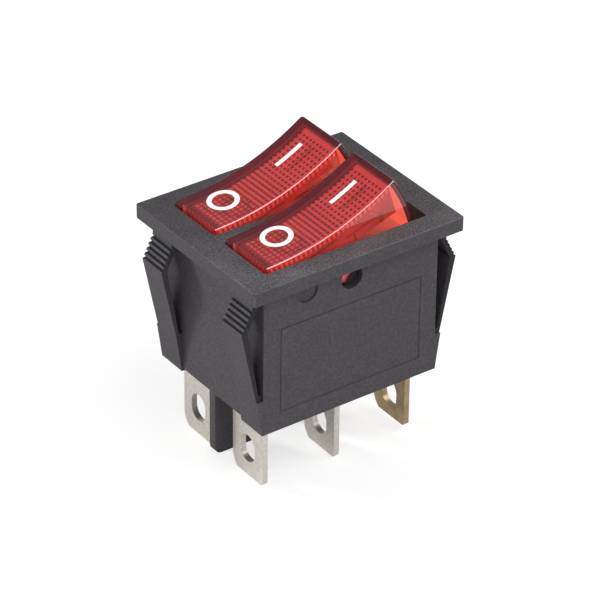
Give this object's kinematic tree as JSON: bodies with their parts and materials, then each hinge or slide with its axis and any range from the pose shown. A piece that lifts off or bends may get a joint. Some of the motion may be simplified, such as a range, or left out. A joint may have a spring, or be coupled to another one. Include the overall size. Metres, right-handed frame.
{
  "type": "panel rocker switch",
  "caption": "Double snap-in panel rocker switch: black case with bezel and ratchet wings, clear red rockers over ribbed diffusers, flat tab terminals below.",
  "frame": {"origin": "centre of the bezel's underside, in the plane of the panel's outer face", "axes": "+Z out of the panel, through the rockers; +X along the rockers from the O end to the I end; +Y from the near rocker to the far one"},
  "size_m": [0.0318, 0.0252, 0.038],
  "materials": {
    "housing_black": "fine spark-eroded texture",
    "rocker_red": "clear red, glossy",
    "diffuser_orange": "translucent, square ribs on top",
    "carrier_white": "plain moulded",
    "lamp_glass": "clear glass",
    "resistor_body": "lacquered",
    "spring_steel": "drawn wire",
    "plunger_brass": "turned",
    "bar_copper": "stamped",
    "contact_silver": "dull silver",
    "terminal_tin": "tin plated, stamped",
    "terminal_brass": "stamped brass"
  },
  "bodies": {
    "housing": {"housing": "housing_black", "line_terminal_near": "terminal_tin", "common_terminal_near": "terminal_tin", "lamp_terminal_near": "terminal_brass", "fixed_contact_near": "contact_silver", "line_terminal_far": "terminal_tin", "common_terminal_far": "terminal_tin", "lamp_terminal_far": "terminal_brass", "fixed_contact_far": "contact_silver"},
    "rocker_near": {"rocker_near": "rocker_red", "diffuser_near": "diffuser_orange", "carrier_near": "carrier_white", "lamp_near": "lamp_glass", "resistor_near": "resistor_body", "lamp_spring_near": "spring_steel", "plunger_spring_near": "spring_steel"},
    "plunger_near": {"plunger_near": "plunger_brass"},
    "contact_bar_near": {"contact_bar_near": "bar_copper", "moving_contact_near": "contact_silver"},
    "rocker_far": {"rocker_far": "rocker_red", "diffuser_far": "diffuser_orange", "carrier_far": "carrier_white", "lamp_far": "lamp_glass", "resistor_far": "resistor_body", "lamp_spring_far": "spring_steel", "plunger_spring_far": "spring_steel"},
    "plunger_far": {"plunger_far": "plunger_brass"},
    "contact_bar_far": {"contact_bar_far": "bar_copper", "moving_contact_far": "contact_silver"}
  },
  "joints": [
    {"name": "rocker_near_tilt", "type": "hinge", "parent": "housing", "child": "rocker_near", "pos_m": [0, -0.00535, -0.0021], "axis": [0, 1, 0], "range_deg": [0, 35]},
    {"name": "plunger_near_slide", "type": "slide", "parent": "rocker_near", "child": "plunger_near", "axis": [-0.3007, 0, 0.9537], "range_m": [0, 0.0009], "stiffness_N_per_m": 400, "springref_m": -0.003, "deforming": ["plunger_spring_near"]},
    {"name": "contact_bar_near_rock", "type": "hinge", "parent": "housing", "child": "contact_bar_near", "pos_m": [-0.00015, -0.00535, -0.0128], "axis": [0, -1, 0], "range_deg": [0, 16]},
    {"name": "rocker_far_tilt", "type": "hinge", "parent": "housing", "child": "rocker_far", "pos_m": [0, 0.00535, -0.0021], "axis": [0, 1, 0], "range_deg": [0, 35]},
    {"name": "plunger_far_slide", "type": "slide", "parent": "rocker_far", "child": "plunger_far", "axis": [-0.3007, 0, 0.9537], "range_m": [0, 0.0009], "stiffness_N_per_m": 400, "springref_m": -0.003, "deforming": ["plunger_spring_far"]},
    {"name": "contact_bar_far_rock", "type": "hinge", "parent": "housing", "child": "contact_bar_far", "pos_m": [-0.00015, 0.00535, -0.0128], "axis": [0, -1, 0], "range_deg": [0, 16]}
  ],
  "couplings": [
    {"joint": "contact_bar_near_rock", "follows": "rocker_near_tilt", "ratio": 0.45714},
    {"joint": "contact_bar_far_rock", "follows": "rocker_far_tilt", "ratio": 0.45714}
  ]
}
